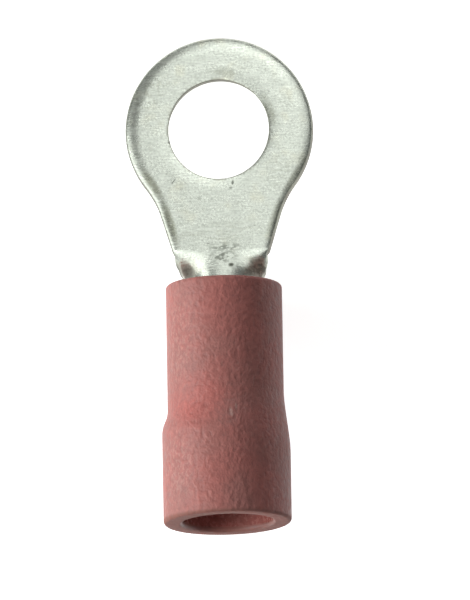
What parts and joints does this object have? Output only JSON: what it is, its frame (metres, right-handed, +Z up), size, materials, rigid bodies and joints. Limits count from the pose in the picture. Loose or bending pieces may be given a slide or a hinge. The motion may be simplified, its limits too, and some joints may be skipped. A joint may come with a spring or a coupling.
{
  "type": "insulated ring terminal",
  "caption": "Crimp ring terminal: a flat tinned ring tongue whose neck curls into a crimp barrel, with a red flared plastic sleeve over the barrel.",
  "frame": {"origin": "centre of the stud hole, at half the thickness of the tongue", "axes": "+Z up as the terminal lies at rest, seam side down, on the tip of its ring and the front edge of its sleeve; +Y along the terminal's length from the wire entry towards the ring, so the tongue and the barrel dip 17.1 degrees towards +Y; +X across the tongue, which is the same on both sides"},
  "size_m": [0.008, 0.0211, 0.0079],
  "materials": {
    "tinned_copper": "satin",
    "sleeve_plastic": "matte"
  },
  "bodies": {
    "root": {"ring_terminal": "tinned_copper", "insulating_sleeve": "sleeve_plastic"}
  },
  "joints": []
}
